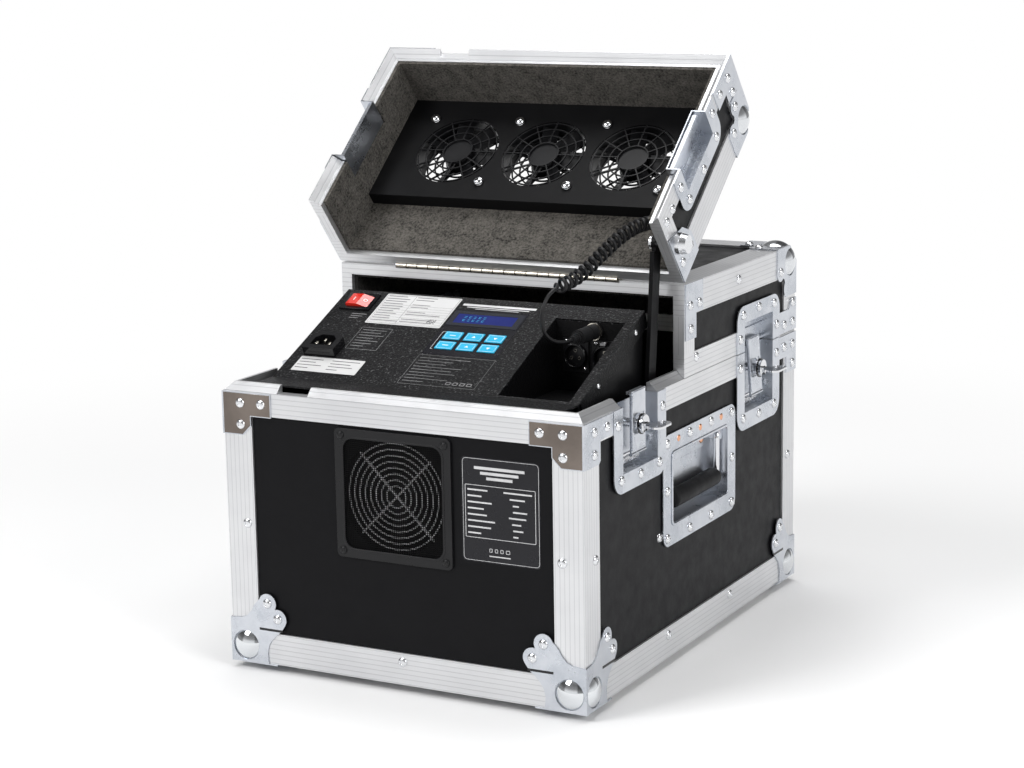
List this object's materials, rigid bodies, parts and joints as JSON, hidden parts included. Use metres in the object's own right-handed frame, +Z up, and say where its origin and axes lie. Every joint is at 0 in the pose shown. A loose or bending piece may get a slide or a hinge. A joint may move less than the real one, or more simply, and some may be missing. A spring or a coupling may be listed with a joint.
{
  "type": "fog machine",
  "caption": "Fog machine built into a plywood flight case with aluminium edges, an open fan lid, a hinged rear cover, a sloped control panel and butterfly latches.",
  "frame": {"origin": "centre of the underside, on the plane the rubber feet stand on", "axes": "+Z up, -Y towards the front with the air intake, +X to the right seen from the front"},
  "size_m": [0.424, 0.501, 0.5598],
  "materials": {
    "laminate": "black structured laminate on plywood",
    "edge_aluminium": "satin anodised",
    "zinc": "bright zinc plate",
    "rivet": "bright",
    "rubber": "matt",
    "black_plastic": "moulded",
    "bright_wire": "plated wire",
    "black_metal": "fine powder coat",
    "display": "dark blue window",
    "tank": "translucent",
    "engine": "plain",
    "board": "solder mask",
    "felt": "speckled felt",
    "handle": "rubber grip on a plated steel bail",
    "red": "glossy",
    "keys": "satin membrane key"
  },
  "bodies": {
    "base": {"base_panels": "laminate", "base_extrusions": "edge_aluminium", "base_fittings": "zinc", "base_rivets": "rivet", "rubber_feet": "rubber", "base_latch_dishes": "zinc", "handle_dishes": "zinc", "filter_frame": "black_plastic", "finger_guard": "bright_wire", "intake_fan_frame": "black_plastic", "chassis": "black_metal", "control_panel": "black_metal", "display_module": "display", "power_inlet": "black_plastic", "switch_bezel": "black_plastic", "panel_sockets": "black_plastic", "fluid_tank": "tank", "fog_engine": "engine", "control_board": "board"},
    "rear_cover": {"cover_panels": "laminate", "cover_extrusions": "edge_aluminium", "cover_fittings": "zinc", "cover_rivets": "rivet", "cover_lining": "felt", "fan_plug": "rubber", "cord_tail": "rubber"},
    "lid": {"lid_panels": "laminate", "lid_extrusions": "edge_aluminium", "lid_fittings": "zinc", "lid_fasteners": "rivet", "lid_lining": "felt", "fan_plate": "black_metal", "fan_frames": "black_plastic", "cord_coil": "rubber"},
    "lid_stay": {"lid_stay": "black_metal"},
    "latch_knob_front_left": {"latch_knob_front_left": "zinc"},
    "latch_hook_front_left": {"latch_hook_front_left": "zinc"},
    "latch_wing_front_left": {"latch_wing_front_left": "zinc"},
    "latch_knob_front_right": {"latch_knob_front_right": "zinc"},
    "latch_hook_front_right": {"latch_hook_front_right": "zinc"},
    "latch_wing_front_right": {"latch_wing_front_right": "zinc"},
    "latch_knob_rear_left": {"latch_knob_rear_left": "zinc"},
    "latch_hook_rear_left": {"latch_hook_rear_left": "zinc"},
    "latch_wing_rear_left": {"latch_wing_rear_left": "zinc"},
    "latch_knob_rear_right": {"latch_knob_rear_right": "zinc"},
    "latch_hook_rear_right": {"latch_hook_rear_right": "zinc"},
    "latch_wing_rear_right": {"latch_wing_rear_right": "zinc"},
    "handle_left": {"handle_left": "handle"},
    "handle_right": {"handle_right": "handle"},
    "key_1": {"key_1": "keys"},
    "key_2": {"key_2": "keys"},
    "key_3": {"key_3": "keys"},
    "key_4": {"key_4": "keys"},
    "key_5": {"key_5": "keys"},
    "key_6": {"key_6": "keys"},
    "power_rocker": {"power_rocker": "red"},
    "lid_rotor_left": {"lid_rotor_left": "black_plastic"},
    "lid_rotor_middle": {"lid_rotor_middle": "black_plastic"},
    "lid_rotor_right": {"lid_rotor_right": "black_plastic"},
    "intake_rotor": {"intake_rotor": "black_plastic"}
  },
  "joints": [
    {"name": "rear_cover_hinge", "type": "hinge", "parent": "base", "child": "rear_cover", "pos_m": [0, 0.246, 0.267], "axis": [1, 0, 0], "range_deg": [-95, 0]},
    {"name": "lid_hinge", "type": "hinge", "parent": "rear_cover", "child": "lid", "pos_m": [0, -0.034, 0.356], "axis": [1, 0, 0], "range_deg": [0, 140], "deforming": ["cord_coil", "cord_tail"]},
    {"name": "stay_pivot", "type": "hinge", "parent": "lid", "child": "lid_stay", "pos_m": [0.1645, -0.0504, 0.39576], "axis": [1, 0, 0], "range_deg": [-140, 0]},
    {"name": "latch_knob_front_left_turn", "type": "hinge", "parent": "base", "child": "latch_knob_front_left", "pos_m": [-0.185, -0.132, 0.245], "axis": [-1, 0, 0], "range_deg": [0, 180]},
    {"name": "latch_hook_front_left_tilt", "type": "hinge", "parent": "base", "child": "latch_hook_front_left", "pos_m": [-0.1832, -0.132, 0.219], "axis": [0, 1, 0], "range_deg": [0, 4]},
    {"name": "latch_wing_front_left_fold", "type": "hinge", "parent": "latch_knob_front_left", "child": "latch_wing_front_left", "pos_m": [-0.1882, -0.132, 0.245], "axis": [0, -1, 0], "range_deg": [0, 90]},
    {"name": "latch_knob_front_right_turn", "type": "hinge", "parent": "base", "child": "latch_knob_front_right", "pos_m": [0.185, -0.132, 0.245], "axis": [1, 0, 0], "range_deg": [0, 180]},
    {"name": "latch_hook_front_right_tilt", "type": "hinge", "parent": "base", "child": "latch_hook_front_right", "pos_m": [0.1832, -0.132, 0.219], "axis": [0, -1, 0], "range_deg": [0, 4]},
    {"name": "latch_wing_front_right_fold", "type": "hinge", "parent": "latch_knob_front_right", "child": "latch_wing_front_right", "pos_m": [0.1882, -0.132, 0.245], "axis": [0, 1, 0], "range_deg": [0, 90]},
    {"name": "latch_knob_rear_left_turn", "type": "hinge", "parent": "base", "child": "latch_knob_rear_left", "pos_m": [-0.185, 0.146, 0.245], "axis": [-1, 0, 0], "range_deg": [0, 180]},
    {"name": "latch_hook_rear_left_tilt", "type": "hinge", "parent": "base", "child": "latch_hook_rear_left", "pos_m": [-0.1832, 0.146, 0.219], "axis": [0, -1, 0], "range_deg": [0, 4]},
    {"name": "latch_wing_rear_left_fold", "type": "hinge", "parent": "latch_knob_rear_left", "child": "latch_wing_rear_left", "pos_m": [-0.1882, 0.146, 0.245], "axis": [0, -1, 0], "range_deg": [0, 90]},
    {"name": "latch_knob_rear_right_turn", "type": "hinge", "parent": "base", "child": "latch_knob_rear_right", "pos_m": [0.185, 0.146, 0.245], "axis": [1, 0, 0], "range_deg": [0, 180]},
    {"name": "latch_hook_rear_right_tilt", "type": "hinge", "parent": "base", "child": "latch_hook_rear_right", "pos_m": [0.1832, 0.146, 0.219], "axis": [0, 1, 0], "range_deg": [0, 4]},
    {"name": "latch_wing_rear_right_fold", "type": "hinge", "parent": "latch_knob_rear_right", "child": "latch_wing_rear_right", "pos_m": [0.1882, 0.146, 0.245], "axis": [0, 1, 0], "range_deg": [0, 90]},
    {"name": "handle_left_swing", "type": "hinge", "parent": "base", "child": "handle_left", "pos_m": [-0.177, 0.004, 0.195], "axis": [0, 1, 0], "range_deg": [0, 90], "stiffness_Nm_per_rad": 0.05},
    {"name": "handle_right_swing", "type": "hinge", "parent": "base", "child": "handle_right", "pos_m": [0.177, 0.004, 0.195], "axis": [0, -1, 0], "range_deg": [0, 90], "stiffness_Nm_per_rad": 0.05},
    {"name": "key_1_press", "type": "slide", "parent": "base", "child": "key_1", "axis": [0, 0.4067, -0.9135], "range_m": [0, 0.0005], "stiffness_N_per_m": 400},
    {"name": "key_2_press", "type": "slide", "parent": "base", "child": "key_2", "axis": [0, 0.4067, -0.9135], "range_m": [0, 0.0005], "stiffness_N_per_m": 400},
    {"name": "key_3_press", "type": "slide", "parent": "base", "child": "key_3", "axis": [0, 0.4067, -0.9135], "range_m": [0, 0.0005], "stiffness_N_per_m": 400},
    {"name": "key_4_press", "type": "slide", "parent": "base", "child": "key_4", "axis": [0, 0.4067, -0.9135], "range_m": [0, 0.0005], "stiffness_N_per_m": 400},
    {"name": "key_5_press", "type": "slide", "parent": "base", "child": "key_5", "axis": [0, 0.4067, -0.9135], "range_m": [0, 0.0005], "stiffness_N_per_m": 400},
    {"name": "key_6_press", "type": "slide", "parent": "base", "child": "key_6", "axis": [0, 0.4067, -0.9135], "range_m": [0, 0.0005], "stiffness_N_per_m": 400},
    {"name": "power_rocker_tilt", "type": "hinge", "parent": "base", "child": "power_rocker", "pos_m": [-0.134, -0.08269, 0.3243], "axis": [0, 0.9135, 0.4067], "range_deg": [-16, 0]},
    {"name": "lid_fan_left_spin", "type": "hinge", "parent": "lid", "child": "lid_rotor_left", "pos_m": [-0.096, 0.05325, 0.45271], "axis": [0, 0.6428, -0.766], "continuous": true},
    {"name": "lid_fan_middle_spin", "type": "hinge", "parent": "lid", "child": "lid_rotor_middle", "pos_m": [0, 0.05325, 0.45271], "axis": [0, 0.6428, -0.766], "continuous": true},
    {"name": "lid_fan_right_spin", "type": "hinge", "parent": "lid", "child": "lid_rotor_right", "pos_m": [0.096, 0.05325, 0.45271], "axis": [0, 0.6428, -0.766], "continuous": true},
    {"name": "intake_fan_spin", "type": "hinge", "parent": "base", "child": "intake_rotor", "pos_m": [-0.0055, -0.225, 0.182], "axis": [0, 1, 0], "continuous": true}
  ],
  "couplings": [
    {"joint": "stay_pivot", "follows": "lid_hinge", "ratio": -1},
    {"joint": "latch_hook_front_left_tilt", "follows": "latch_knob_front_left_turn", "ratio": 0.022222},
    {"joint": "latch_hook_front_right_tilt", "follows": "latch_knob_front_right_turn", "ratio": 0.022222},
    {"joint": "latch_hook_rear_left_tilt", "follows": "latch_knob_rear_left_turn", "ratio": 0.022222},
    {"joint": "latch_hook_rear_right_tilt", "follows": "latch_knob_rear_right_turn", "ratio": 0.022222}
  ]
}
